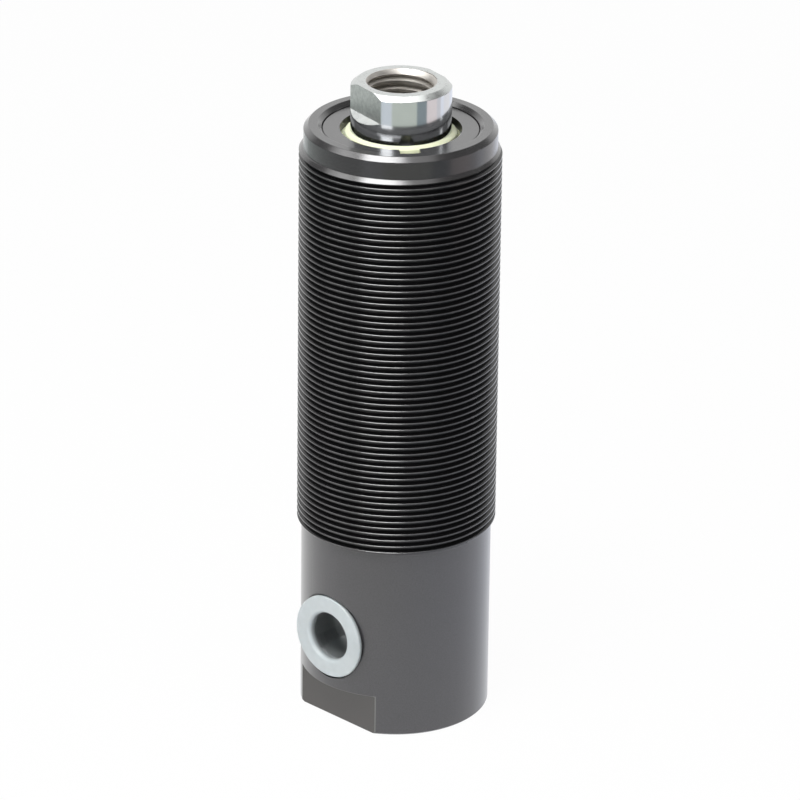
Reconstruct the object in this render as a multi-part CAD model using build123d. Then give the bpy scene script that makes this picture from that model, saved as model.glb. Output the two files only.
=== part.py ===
from build123d import *
import math
import os

# Single-acting threaded-body hydraulic cylinder with spring return, rod drawn in.
# The axis is Z, the origin is the centre of the base face, and the port faces -Y.
# Threads are drawn as plain cylinders at their fitting diameter.

# Body, outside
body_length = 140.0
base_diameter = 43.0
base_length = 45.5
base_edge_chamfer = 0.4
body_thread_diameter = 45.0
collar_diameter = 43.0
thread_end_chamfer = 0.15
collar_length = 5.0
collar_chamfer = 1.1

# Wrench flats across the base
base_flat_width = 36.0
base_flat_height = 9.4

# Pressure port, G 1/4, and the feed to the bore
port_height = 21.7
spot_face_depth = 0.5
spot_face_diameter = 20.2
port_core_diameter = 11.445
port_depth = 15.0
port_countersink_diameter = 13.8
feed_diameter = 5.0
drill_point_angle = 118.0

# Body, inside
bore_diameter = 32.0
bore_floor_height = 34.0
bore_floor_chamfer = 0.8
bore_lead_in = 0.5
bore_lead_in_length = 1.9
gland_thread_diameter = 35.0
mouth_chamfer = 0.9

# Gland nut
gland_recess = 1.0
gland_length = 27.1
gland_spigot_length = 9.4
gland_edge_chamfer = 0.4
gland_relief_depth = 1.2
gland_relief_length = 1.6
gland_opening_diameter = 27.2
gland_lip = 2.1
gland_slot_width = 4.5
gland_slot_angle = -37.4

# Static O-ring of the gland
gland_ring_groove_start = 2.5
gland_ring_groove_depth = 1.58
gland_ring_groove_width = 2.8

# Guide rings for the rod
rod_ring_thickness = 1.5
rod_ring_width = 4.2
lower_guide_start = 2.0
upper_guide_start = 12.0

# Wiper
wiper_groove_diameter = 30.0
wiper_height = 4.5
wiper_lip_thickness = 1.45
wiper_lip_slope = 0.85
wiper_lip_taper = 0.4
wiper_undercut = 0.9

# Locking pellet in the gland's thread
pellet_diameter = 3.0
pellet_depth = 1.6
pellet_start = 17.2

# Piston rod
rod_diameter = 22.4
rod_reach = 10.0
rod_end_chamfer_width = 1.3
rod_end_chamfer_length = 1.0
rod_flat_width = 19.0
rod_flat_length = 6.5
rod_flat_angle = -11.2
rod_thread_core_diameter = 13.835
rod_drill_depth = 28.0
rod_countersink_diameter = 15.6
rod_countersink_depth = 1.4
spigot_diameter = 14.0
spigot_shortfall = 0.4
stud_diameter = 12.0
stud_protrusion = 0.5
stud_chamfer = 0.6

# Static seal between rod and piston
rod_seal_groove_start = 4.0
rod_seal_groove_depth = 1.4
rod_o_ring_width = 2.3
rod_backup_width = 1.2

# Piston
piston_length = 20.0
piston_foot_chamfer = 1.2
piston_crown_chamfer = 0.6
nut_recess_diameter = 25.0
nut_recess_depth = 7.5

# Piston seal and guide ring
seal_groove_start = 9.2
seal_groove_width = 3.2
seal_groove_depth = 3.65
slide_ring_thickness = 1.3
guide_groove_start = 13.6
piston_ring_width = 4.2
piston_ring_thickness = 2.5

# Lock nut, M12 thin
nut_width = 18.0
nut_height = 6.0
nut_bevel_angle = 30.0

# Return spring, its washers and the stop sleeve
stroke = 25.0
washer_thickness = 1.5
wire_diameter = 2.8
spring_outside_diameter = 31.4
active_coils = 4.0
closed_coils = 1.0
closed_coil_gap = 0.1
runs_per_coil = 24
wire_sides = 8
sleeve_wall = 1.3

# Shipping plug in the port
plug_flange_diameter = 19.4
plug_flange_thickness = 1.1
plug_shank_diameter = 11.2
plug_root_diameter = 13.2
plug_tip_diameter = 10.6
plug_length = 9.2
plug_end_thickness = 0.9
plug_mouth_diameter = 12.0
plug_bore_diameter = 10.8
plug_bore_end_diameter = 9.6
plug_edge_chamfer = 0.3

# Clearances, all radial
ring_running_clearance = 0.05
metal_running_clearance = 0.1
lip_running_clearance = 0.03
seat_gap = 0.02

# Split in the guide rings, and how far the corners of a squeezed ring are rounded off
ring_split = 0.8
ring_split_angle = 35.0
ring_split_run = 12.5
squeezed_corner_share = 0.3

# Length of cutters that have to clear the part, and how far the slots start before the wall
clear_length = 300.0
cutter_run_in = 1.0

# Heights and radii that follow
rod_radius = rod_diameter / 2
bore_radius = bore_diameter / 2
base_radius = base_diameter / 2
thread_top = body_length - collar_length
gland_top = body_length - gland_recess
gland_bottom = gland_top - gland_length
gland_seat = gland_bottom + gland_spigot_length
gland_radius = gland_thread_diameter / 2 - seat_gap
spigot_radius = bore_radius - seat_gap
rod_hole_radius = rod_radius + metal_running_clearance
wiper_groove_top = gland_top - gland_lip
wiper_groove_bottom = wiper_groove_top - wiper_height
piston_top = bore_floor_height + piston_length
nut_seat = bore_floor_height + nut_recess_depth
spring_bottom = piston_top + washer_thickness
spring_top = gland_bottom - washer_thickness
port_face = base_radius - spot_face_depth
port_frame = Plane(origin=(0, -port_face, port_height), x_dir=(1, 0, 0), z_dir=(0, -1, 0))


def turned(*corners):
    """Solid of revolution about Z from the corners of its half section."""
    outline = Polyline(*corners, close=True)
    return revolve(Plane.XZ * make_face(outline), Axis.Z)


def ring(inner, outer, low, high, corner=0.0):
    """Ring of rectangular section, its corners cut off where a size is given."""
    section = Rectangle(outer - inner, high - low)
    if corner > 0:
        section = chamfer(section.vertices(), corner)
    centre = Pos((inner + outer) / 2, (low + high) / 2)
    return revolve(Plane.XZ * centre * section, Axis.Z)


def split_ring(inner, outer, low, high):
    """Guide ring with the slanting cut that lets it snap into its groove."""
    middle = (low + high) / 2
    blade = Box(outer, ring_split, ring_split_run)
    cut = Pos(outer, 0, middle) * Rot(ring_split_angle, 0, 0) * blade
    return ring(inner, outer, low, high) - cut


def drill_point(radius):
    """Height of the cone that a drill leaves at the end of its hole."""
    return radius / math.tan(math.radians(drill_point_angle / 2))


def side_cutters(distance, height, low, high):
    """Pair of blocks that mill two flats, at a distance from the axis along Y."""
    block = Box(clear_length, height, high - low)
    near = Pos(0, -distance - height / 2, (low + high) / 2) * block
    far = Pos(0, distance + height / 2, (low + high) / 2) * block
    return near + far


def body_outside():
    thread_radius = body_thread_diameter / 2
    collar_radius = collar_diameter / 2
    lead_in = thread_radius - collar_radius
    return turned(
        (0, 0),
        (base_radius - base_edge_chamfer, 0),
        (base_radius, base_edge_chamfer),
        (base_radius, base_length),
        (thread_radius - thread_end_chamfer, base_length),
        (thread_radius, base_length + thread_end_chamfer),
        (thread_radius, thread_top - lead_in),
        (collar_radius, thread_top),
        (collar_radius, body_length - collar_chamfer),
        (collar_radius - collar_chamfer, body_length),
        (0, body_length),
    )


def body_hollow():
    mouth_radius = gland_thread_diameter / 2
    return turned(
        (0, bore_floor_height),
        (bore_radius - bore_floor_chamfer, bore_floor_height),
        (bore_radius, bore_floor_height + bore_floor_chamfer),
        (bore_radius, gland_seat - bore_lead_in_length),
        (bore_radius + bore_lead_in, gland_seat),
        (mouth_radius, gland_seat),
        (mouth_radius, body_length - mouth_chamfer),
        (mouth_radius + mouth_chamfer, body_length),
        (0, body_length),
    )


def port_hollow():
    """Spot face, countersink, tapped hole and feed, cut from the side to the axis."""
    spot_radius = spot_face_diameter / 2
    sink_radius = port_countersink_diameter / 2
    core_radius = port_core_diameter / 2
    feed_radius = feed_diameter / 2
    tip = drill_point(core_radius) - drill_point(feed_radius)
    cutter = turned(
        (0, 2 * spot_face_depth),
        (spot_radius, 2 * spot_face_depth),
        (spot_radius, 0),
        (sink_radius, 0),
        (core_radius, core_radius - sink_radius),
        (core_radius, -port_depth),
        (feed_radius, -port_depth - tip),
        (feed_radius, -port_face - feed_radius),
        (0, -port_face - feed_radius),
    )
    rise = bore_floor_height - port_height
    upright = Pos(0, 0, port_height + rise / 2) * Cylinder(feed_radius, rise)
    return port_frame * cutter + upright


def threaded_body():
    flats = side_cutters(base_flat_width / 2, base_radius, 0, base_flat_height)
    return body_outside() - body_hollow() - port_hollow() - flats


def gland_blank():
    relief_radius = gland_radius - gland_relief_depth
    groove_radius = spigot_radius - gland_ring_groove_depth
    groove_low = gland_bottom + gland_ring_groove_start
    groove_high = groove_low + gland_ring_groove_width
    opening_radius = gland_opening_diameter / 2
    wiper_radius = wiper_groove_diameter / 2
    return turned(
        (rod_hole_radius, gland_bottom),
        (spigot_radius - gland_edge_chamfer, gland_bottom),
        (spigot_radius, gland_bottom + gland_edge_chamfer),
        (spigot_radius, groove_low),
        (groove_radius, groove_low),
        (groove_radius, groove_high),
        (spigot_radius, groove_high),
        (spigot_radius, gland_seat),
        (relief_radius, gland_seat),
        (relief_radius, gland_seat + gland_relief_length),
        (gland_radius, gland_seat + gland_relief_length + gland_relief_depth),
        (gland_radius, gland_top - gland_edge_chamfer),
        (gland_radius - gland_edge_chamfer, gland_top),
        (opening_radius, gland_top),
        (opening_radius, wiper_groove_top),
        (wiper_radius, wiper_groove_top),
        (wiper_radius, wiper_groove_bottom),
        (rod_hole_radius, wiper_groove_bottom),
    )


def guide_groove(start):
    low = gland_bottom + start
    return ring(rod_radius, rod_radius + ring_running_clearance + rod_ring_thickness + seat_gap,
                low, low + rod_ring_width)


def spanner_slots():
    """Two radial slots, opposite each other, cut through the gland's lip down to the wiper."""
    inner = gland_opening_diameter / 2 - cutter_run_in
    outer = gland_thread_diameter / 2
    bar = Box(outer - inner, gland_slot_width, gland_lip)
    near = Pos((inner + outer) / 2, 0, wiper_groove_top + gland_lip / 2) * bar
    far = Pos(-(inner + outer) / 2, 0, wiper_groove_top + gland_lip / 2) * bar
    return Rot(0, 0, gland_slot_angle) * (near + far)


def pellet_blank(depth, radius):
    middle = gland_bottom + pellet_start
    rod = Cylinder(radius, 2 * depth)
    return Pos(0, gland_radius, middle) * Rot(90, 0, 0) * rod


def gland_nut():
    gland = gland_blank() - spanner_slots()
    for start in (lower_guide_start, upper_guide_start):
        gland -= guide_groove(start)
    return gland - pellet_blank(pellet_depth, pellet_diameter / 2)


def gland_lock_pellet():
    pellet = pellet_blank(pellet_depth - seat_gap, pellet_diameter / 2 - seat_gap)
    return pellet & Cylinder(gland_radius, clear_length)


def gland_o_ring():
    low = gland_bottom + gland_ring_groove_start + seat_gap
    high = low + gland_ring_groove_width - 2 * seat_gap
    outer = bore_radius - seat_gap
    inner = spigot_radius - gland_ring_groove_depth + seat_gap
    return ring(inner, outer, low, high, corner=squeezed_corner_share * (outer - inner))


def rod_guide_ring(start):
    low = gland_bottom + start + seat_gap
    high = low + rod_ring_width - 2 * seat_gap
    inner = rod_radius + ring_running_clearance
    return split_ring(inner, inner + rod_ring_thickness, low, high)


def rod_wiper():
    """Wiper whose sloping lip runs on the rod and stands in the gland's opening."""
    back = wiper_groove_diameter / 2 - seat_gap
    tip = rod_radius + lip_running_clearance
    shoulder = wiper_groove_top - seat_gap
    foot = wiper_groove_bottom + seat_gap
    crest = tip + wiper_lip_thickness
    return turned(
        (tip, gland_top),
        (crest, gland_top - wiper_lip_slope),
        (crest + wiper_lip_taper, shoulder),
        (back, shoulder),
        (back, foot),
        (rod_hole_radius + seat_gap, foot),
        (tip + wiper_undercut, foot + wiper_undercut),
        (tip + wiper_undercut, shoulder),
    )


def spring_washer(low):
    inner = rod_radius + metal_running_clearance
    return ring(inner, spring_outside_diameter / 2, low, low + washer_thickness)


def stop_sleeve():
    """Sleeve inside the spring that meets the upper washer at the end of the stroke."""
    inner = rod_radius + metal_running_clearance
    return ring(inner, inner + sleeve_wall, spring_bottom, spring_top - stroke)


def spring_point(turn):
    """Point on the wire's centre line, whose closed end coils rise by little more than the wire."""
    coil_radius = (spring_outside_diameter - wire_diameter) / 2
    closed_pitch = wire_diameter + closed_coil_gap
    active_height = spring_top - spring_bottom - 2 * closed_coils * closed_pitch
    active_turn = min(max(turn - closed_coils, 0), active_coils)
    closed_turn = turn - active_turn
    rise = closed_turn * closed_pitch + active_turn * active_height / active_coils
    angle = 2 * math.pi * turn
    return (coil_radius * math.cos(angle), coil_radius * math.sin(angle), spring_bottom + rise)


def return_spring():
    """Compression spring, a many-sided wire swept along short runs, both ends ground flat."""
    runs = round((active_coils + 2 * closed_coils) * runs_per_coil)
    path = Polyline(*[spring_point(run / runs_per_coil) for run in range(runs + 1)])
    start = Plane(origin=path @ 0, x_dir=(1, 0, 0), z_dir=path % 0)
    wire = start * Rot(0, 0, 180 / wire_sides) * RegularPolygon(wire_diameter / 2, wire_sides)
    coil = sweep(wire, path=path, transition=Transition.RIGHT)
    middle_height = (spring_bottom + spring_top) / 2
    room = Pos(0, 0, middle_height) * Cylinder(body_thread_diameter / 2, spring_top - spring_bottom)
    return coil & room


def rod_blank():
    end = body_length + rod_reach
    core_radius = rod_thread_core_diameter / 2
    sink_radius = rod_countersink_diameter / 2
    drill_end = end - rod_drill_depth
    spigot = spigot_diameter / 2
    stud = stud_diameter / 2
    stud_end = nut_seat - nut_height - stud_protrusion
    groove_low = nut_seat + rod_seal_groove_start
    groove_high = groove_low + rod_o_ring_width + rod_backup_width
    groove_radius = spigot - rod_seal_groove_depth
    return turned(
        (0, stud_end),
        (stud - stud_chamfer, stud_end),
        (stud, stud_end + stud_chamfer),
        (stud, nut_seat + spigot_shortfall),
        (spigot, nut_seat + spigot_shortfall),
        (spigot, groove_low),
        (groove_radius, groove_low),
        (groove_radius, groove_high),
        (spigot, groove_high),
        (spigot, piston_top),
        (rod_radius, piston_top),
        (rod_radius, end - rod_end_chamfer_length),
        (rod_radius - rod_end_chamfer_width, end),
        (sink_radius, end),
        (core_radius, end - rod_countersink_depth),
        (core_radius, drill_end),
        (0, drill_end - drill_point(core_radius)),
    )


def piston_rod():
    end = body_length + rod_reach
    flats = side_cutters(rod_flat_width / 2, rod_radius, end - rod_flat_length, end)
    return rod_blank() - Rot(0, 0, rod_flat_angle) * flats


def rod_seal_ring(low, width, corner):
    outer = spigot_diameter / 2
    inner = outer - rod_seal_groove_depth + seat_gap
    return ring(inner, outer, low + seat_gap, low + width - seat_gap, corner)


def piston_rod_o_ring():
    """Static O-ring on the pressure side of the rod's spigot, squeezed in its groove."""
    return rod_seal_ring(nut_seat + rod_seal_groove_start, rod_o_ring_width,
                         squeezed_corner_share * rod_seal_groove_depth)


def piston_rod_backup_ring():
    low = nut_seat + rod_seal_groove_start + rod_o_ring_width
    return rod_seal_ring(low, rod_backup_width, 0.0)


def piston():
    outer = bore_radius - metal_running_clearance
    hole = spigot_diameter / 2 + seat_gap
    recess = nut_recess_diameter / 2
    seal_low = bore_floor_height + seal_groove_start
    seal_high = seal_low + seal_groove_width
    seal_radius = outer - seal_groove_depth
    guide_low = bore_floor_height + guide_groove_start
    guide_high = guide_low + piston_ring_width
    guide_radius = bore_radius - ring_running_clearance - piston_ring_thickness - seat_gap
    return turned(
        (recess, bore_floor_height),
        (outer - piston_foot_chamfer, bore_floor_height),
        (outer, bore_floor_height + piston_foot_chamfer),
        (outer, seal_low),
        (seal_radius, seal_low),
        (seal_radius, seal_high),
        (outer, seal_high),
        (outer, guide_low),
        (guide_radius, guide_low),
        (guide_radius, guide_high),
        (outer, guide_high),
        (outer, piston_top - piston_crown_chamfer),
        (outer - piston_crown_chamfer, piston_top),
        (hole, piston_top),
        (hole, nut_seat),
        (recess, nut_seat),
    )


def piston_seal_ring():
    """Slide ring that runs on the bore."""
    low = bore_floor_height + seal_groove_start + seat_gap
    high = low + seal_groove_width - 2 * seat_gap
    outer = bore_radius - lip_running_clearance
    return ring(outer - slide_ring_thickness, outer, low, high)


def piston_seal_energizer():
    """O-ring under the slide ring, squeezed in its groove."""
    low = bore_floor_height + seal_groove_start + seat_gap
    high = low + seal_groove_width - 2 * seat_gap
    outer = bore_radius - lip_running_clearance - slide_ring_thickness - seat_gap
    inner = bore_radius - metal_running_clearance - seal_groove_depth + seat_gap
    return ring(inner, outer, low, high, corner=squeezed_corner_share * (outer - inner))


def piston_guide_ring():
    low = bore_floor_height + guide_groove_start + seat_gap
    high = low + piston_ring_width - 2 * seat_gap
    outer = bore_radius - ring_running_clearance
    return split_ring(outer - piston_ring_thickness, outer, low, high)


def piston_lock_nut():
    """Thin hexagon nut, its corners chamfered on both faces."""
    corner_radius = nut_width / math.sqrt(3)
    flat_radius = nut_width / 2
    bevel = (corner_radius - flat_radius) * math.tan(math.radians(nut_bevel_angle))
    hole = stud_diameter / 2 + seat_gap
    low = nut_seat - nut_height
    prism = Pos(0, 0, low) * extrude(RegularPolygon(corner_radius, 6), nut_height)
    envelope = turned(
        (hole, low),
        (flat_radius, low),
        (corner_radius, low + bevel),
        (corner_radius, nut_seat - bevel),
        (flat_radius, nut_seat),
        (hole, nut_seat),
    )
    return prism & envelope


def port_plug():
    """Flanged plastic cup that closes the port until it is piped."""
    flange_radius = plug_flange_diameter / 2
    mouth_radius = plug_mouth_diameter / 2
    bore_start = plug_bore_diameter / 2
    bore_end = plug_bore_end_diameter / 2
    root_radius = plug_root_diameter / 2
    shank_radius = plug_shank_diameter / 2
    tip_radius = plug_tip_diameter / 2
    mouth_depth = mouth_radius - bore_start
    root_depth = root_radius - shank_radius
    return port_frame * turned(
        (0, -plug_length),
        (tip_radius, -plug_length),
        (shank_radius, -root_depth),
        (root_radius, 0),
        (flange_radius - plug_edge_chamfer, 0),
        (flange_radius, plug_edge_chamfer),
        (flange_radius, plug_flange_thickness - plug_edge_chamfer),
        (flange_radius - plug_edge_chamfer, plug_flange_thickness),
        (mouth_radius, plug_flange_thickness),
        (bore_start, plug_flange_thickness - mouth_depth),
        (bore_end, plug_end_thickness - plug_length),
        (0, plug_end_thickness - plug_length),
    )


nodes = {
    "threaded_body": threaded_body(),
    "gland_nut": gland_nut(),
    "gland_o_ring": gland_o_ring(),
    "gland_lock_pellet": gland_lock_pellet(),
    "rod_guide_ring_lower": rod_guide_ring(lower_guide_start),
    "rod_guide_ring_upper": rod_guide_ring(upper_guide_start),
    "rod_wiper": rod_wiper(),
    "upper_spring_washer": spring_washer(spring_top),
    "return_spring": return_spring(),
    "lower_spring_washer": spring_washer(piston_top),
    "stop_sleeve": stop_sleeve(),
    "piston_rod": piston_rod(),
    "piston": piston(),
    "piston_rod_o_ring": piston_rod_o_ring(),
    "piston_rod_backup_ring": piston_rod_backup_ring(),
    "piston_seal_ring": piston_seal_ring(),
    "piston_seal_energizer": piston_seal_energizer(),
    "piston_guide_ring": piston_guide_ring(),
    "piston_lock_nut": piston_lock_nut(),
    "port_plug": port_plug(),
}

os.makedirs("parts", exist_ok=True)
for name, shape in nodes.items():
    export_step(shape, f"parts/{name}.step")
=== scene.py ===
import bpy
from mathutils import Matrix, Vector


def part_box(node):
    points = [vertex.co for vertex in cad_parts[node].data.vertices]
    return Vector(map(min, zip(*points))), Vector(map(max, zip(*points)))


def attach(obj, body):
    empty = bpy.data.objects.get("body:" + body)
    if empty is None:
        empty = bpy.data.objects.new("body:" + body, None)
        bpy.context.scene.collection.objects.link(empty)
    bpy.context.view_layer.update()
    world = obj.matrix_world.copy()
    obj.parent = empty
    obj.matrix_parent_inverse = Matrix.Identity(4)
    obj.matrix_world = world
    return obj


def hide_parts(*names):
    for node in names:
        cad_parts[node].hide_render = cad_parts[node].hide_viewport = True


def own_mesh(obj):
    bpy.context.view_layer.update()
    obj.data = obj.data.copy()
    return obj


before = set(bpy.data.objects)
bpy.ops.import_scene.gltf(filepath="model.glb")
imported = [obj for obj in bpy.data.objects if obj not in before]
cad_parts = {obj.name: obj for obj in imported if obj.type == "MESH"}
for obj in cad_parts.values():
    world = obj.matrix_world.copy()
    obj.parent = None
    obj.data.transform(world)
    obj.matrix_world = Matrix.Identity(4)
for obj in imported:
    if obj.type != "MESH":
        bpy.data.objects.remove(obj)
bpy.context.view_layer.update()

import math

import bpy
from bpy.props import FloatProperty, FloatVectorProperty, IntProperty, PointerProperty
from mathutils import Matrix, Vector

bl_info = {
    "name": "Threaded body cylinder",
    "version": (1, 0, 0),
    "blender": (4, 5, 0),
    "location": "3D View > Sidebar > Cylinder",
    "description": "Dresses the packed model of a threaded-body hydraulic cylinder",
    "category": "Object",
}

MM = 0.001
FULL_TURN = 2 * math.pi
NEAR = 0.01 * MM

# Half angle of a metric thread's groove, point of a drill, and depths of a thread in pitches
THREAD_FLANK = math.tan(math.radians(30))
DRILL_POINT = 1 / math.tan(math.radians(59))
DEPTH_OUTSIDE = 0.6134
DEPTH_INSIDE = 0.5413

BODY_BOTTOM, BODY_TOP = (corner.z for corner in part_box("threaded_body"))
GLAND_BOTTOM, GLAND_TOP = (corner.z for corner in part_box("gland_nut"))
ROD_BOTTOM, ROD_TOP = (corner.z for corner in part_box("piston_rod"))
SPRING_BOTTOM, SPRING_TOP = (corner.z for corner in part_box("return_spring"))
SPRING_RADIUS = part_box("return_spring")[1].x
STUD_RADIUS, STUD_PITCH = 6.0 * MM, 1.75 * MM


def linear(hex_colour):
    """An sRGB hex colour as the linear colour that a shader reads."""
    channels = [int(hex_colour[n:n + 2], 16) / 255 for n in (1, 3, 5)]
    curve = [c / 12.92 if c <= 0.04045 else ((c + 0.055) / 1.055) ** 2.4 for c in channels]
    return (*curve, 1.0)


def length(name, description, default_mm):
    return FloatProperty(name=name, description=description, default=default_mm * MM,
                         min=0.0, unit="LENGTH", precision=5)


def colour(name, description, hex_colour):
    return FloatVectorProperty(name=name, description=description, size=4, min=0.0, max=1.0,
                               default=linear(hex_colour), subtype="COLOR")


def angle(name, description, degrees):
    return FloatProperty(name=name, description=description, default=math.radians(degrees),
                         subtype="ANGLE")


def amount(name, description, default, least=0.0):
    return FloatProperty(name=name, description=description, default=default, min=least)


# Sizes and colours that a user would change

class BodySizes(bpy.types.PropertyGroup):
    thread_diameter: length("Thread diameter", "Major diameter of the body thread", 45.0)
    thread_pitch: length("Thread pitch", "Rise of the body thread in one turn", 1.5)
    base_diameter: length("Base diameter", "Smooth base and collar", 43.0)
    base_length: length("Base length", "Height at which the thread starts", 45.5)
    base_chamfer: length("Base chamfer", "Chamfer of the foot's edge", 0.4)
    thread_ledge: length("Thread ledge", "Broken edge under the first thread", 0.15)
    thread_start: length("Thread start", "Height of the groove on the X axis", 45.356)
    collar_length: length("Collar length", "Smooth collar above the thread", 5.0)
    collar_chamfer: length("Collar chamfer", "Chamfer of the collar's top edge", 1.1)
    mouth_chamfer: length("Mouth chamfer", "Chamfer inside the collar", 0.9)
    flat_width: length("Base flats", "Distance across the wrench flats", 36.0)
    flat_height: length("Flat height", "Height of the wrench flats", 9.4)
    bore_diameter: length("Bore", "Honed bore for the piston", 32.0)
    bore_floor: length("Bore floor", "Height of the bore's floor", 34.0)
    mouth_diameter: length("Mouth", "Major diameter of the gland's thread", 35.0)
    mouth_thread: length("Mouth thread", "Depth at which the gland's thread starts", 2.8)
    edge_break: length("Edge break", "Width of the broken edges round the flats", 0.13)
    steps: IntProperty(name="Steps", description="Faces round the body", default=120, min=24)


class PortSizes(bpy.types.PropertyGroup):
    height: length("Port height", "Height of the port's axis", 21.7)
    face: length("Port face", "Distance of the spot face from the axis", 20.2)
    spot_diameter: length("Spot face", "Diameter of the spot face", 20.2)
    core_diameter: length("Core", "Core diameter of the port's thread", 11.445)
    thread_diameter: length("Port thread", "Major diameter of the port's thread", 13.157)
    thread_pitch: length("Port pitch", "Rise of the port's thread in one turn", 1.337)
    depth: length("Depth", "Depth of the drilled core", 14.2)
    feed_diameter: length("Feed", "Drilled feed to the bore", 5.0)


class GlandSizes(bpy.types.PropertyGroup):
    opening_diameter: length("Opening", "Hole in the gland's top face", 27.0)
    thread_pitch: length("Gland pitch", "Rise of the gland's thread in one turn", 1.5)
    lip: length("Lip", "Thickness of the gland above the wiper", 2.1)
    spigot_length: length("Spigot", "Length of the gland inside the bore", 9.4)
    slot_width: length("Slot width", "Width of the spanner slots", 4.5)
    slot_angle: angle("Slot angle", "Direction of the spanner slots", -37.4)


class WiperSizes(bpy.types.PropertyGroup):
    lip_width: length("Lip width", "Width of the sloping lip", 1.12)
    lip_slope: length("Lip slope", "Fall of the lip from the rod outwards", 0.68)
    groove_diameter: length("Wiper groove", "Diameter of the wiper's groove in the gland", 30.0)
    height: length("Wiper height", "Height of the wiper's foot", 4.5)
    lip_taper: length("Lip taper", "How much the lip widens towards its foot", 0.4)


class RodSizes(bpy.types.PropertyGroup):
    diameter: length("Rod diameter", "Chromed rod", 22.4)
    thread_diameter: length("Rod thread", "Major diameter of the tapped hole", 16.0)
    thread_pitch: length("Rod pitch", "Rise of the tapped thread in one turn", 2.0)
    flat_width: length("Rod flats", "Distance across the wrench flats", 19.0)
    flat_length: length("Flat length", "Length of the wrench flats", 6.33)
    ledge_slope: angle("Ledge slope", "Fall of the ledge under the flats", 33.5)
    flat_angle: angle("Flat angle", "Direction of the rod's flats", -11.2)
    chamfer_width: length("Chamfer width", "Width of the chamfer at the rod's end", 1.3)
    chamfer_length: length("Chamfer length", "Length of the chamfer at the rod's end", 1.0)
    sink_diameter: length("Countersink", "Diameter of the tapped hole's countersink", 15.6)
    sink_depth: length("Countersink depth", "Depth of the countersink", 1.4)


class PlugSizes(bpy.types.PropertyGroup):
    flange_diameter: length("Flange", "Diameter of the plug's flange", 19.4)
    flange_thickness: length("Flange thickness", "Thickness of the flange", 1.1)
    flange_back: length("Flange back", "Distance of the flange's back from the axis", 20.58)
    tilt: angle("Tilt", "How far the plug sits askew in the port", 2.5)
    mouth_diameter: length("Mouth", "Opening at the flange's face", 12.2)
    bore_diameter: length("Plug bore", "Width of the cup below its rounded mouth", 11.2)
    depth: length("Plug length", "Length of the cup behind the flange", 9.2)
    edge_radius: length("Edge radius", "Rounding of the moulded edges", 0.3)


class SpringSizes(bpy.types.PropertyGroup):
    wire_diameter: length("Wire", "Diameter of the spring wire", 2.8)
    active_coils: amount("Active coils", "Free coils", 4.0, least=1.0)
    closed_coils: amount("Closed coils", "Closed coils at each end", 1.0, least=0.5)


class Colours(bpy.types.PropertyGroup):
    oxide: colour("Black oxide", "Turned steel under black oxide", "#222122")
    oxide_ground: colour("Ground black oxide", "Ground base under black oxide", "#3F3E40")
    # Real black oxide, made darker than the rest as painted shade for the thread's grooves and the
    # gland's inner walls
    oxide_deep: colour("Deep black oxide", "Cut thread under black oxide", "#0C0C0D")
    oxide_worn: colour("Milled black oxide", "Milled flats under black oxide", "#37332F")
    chrome: colour("Hard chrome", "Chromed and ground rod", "#DEE1E4")
    faced: colour("Faced steel", "Turned end and ledges of the rod", "#D3D6D4")
    steel: colour("Bare steel", "Honed bore and rubbed edges", "#B9BAB6")
    machined: colour("Machined steel", "Piston, washers, sleeve and nut", "#C6C8C9")
    tapped_steel: colour("Tapped steel", "Oiled steel of the tapped hole", "#C2BEB8")
    milled: colour("Milled steel", "Wrench flats of the rod", "#DCDEDB")
    cream: colour("Cream polyurethane", "Wiper", "#EFF3D1")
    milky: colour("Milky polyethylene", "Shipping plug", "#C8CFD1")
    rubber: colour("Nitrile rubber", "Static and energising rings", "#343434")
    bronze_ptfe: colour("Bronze-filled PTFE", "Slide and backup rings", "#6E5B3C")
    phenolic: colour("Phenolic cloth", "Guide rings", "#7A4A2C")
    nylon: colour("Polyamide", "Locking pellet", "#F6F6F2")
    spring_oxide: colour("Spring wire", "Oil-hardened spring wire", "#929599")
    stage_white: colour("Stage white", "Floor and backdrop", "#FFFFFF")


class StageSettings(bpy.types.PropertyGroup):
    azimuth: angle("Azimuth", "Camera's direction round the cylinder", 44.5)
    elevation: angle("Elevation", "Camera's height above the horizon", 23.61)
    roll: angle("Roll", "Camera's roll", 0.7204)
    distance: length("Distance", "Camera's distance from its target", 1260.4)
    target_height: length("Target height", "Height at which the camera aims", 73.56)
    target_side: length("Target offset", "Sideways offset of the aim", 0.547)
    lens: amount("Lens", "Focal length in millimetres", 252.225, least=1.0)
    ambient: amount("Ambient", "Level of the soft surrounding light", 0.12)
    room: amount("Room", "Level of the dim room that gloss shows", 0.28)
    floor_glow: amount("Floor glow", "Share of the floor that stays white", 0.97)


# Modelling by hand, step by step

def deselect():
    bpy.ops.object.select_all(action="DESELECT")


def activate(piece):
    deselect()
    piece.select_set(True)
    bpy.context.view_layer.objects.active = piece


def named(name):
    piece = bpy.context.object
    piece.name = name
    piece.data.name = name
    return piece


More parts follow.
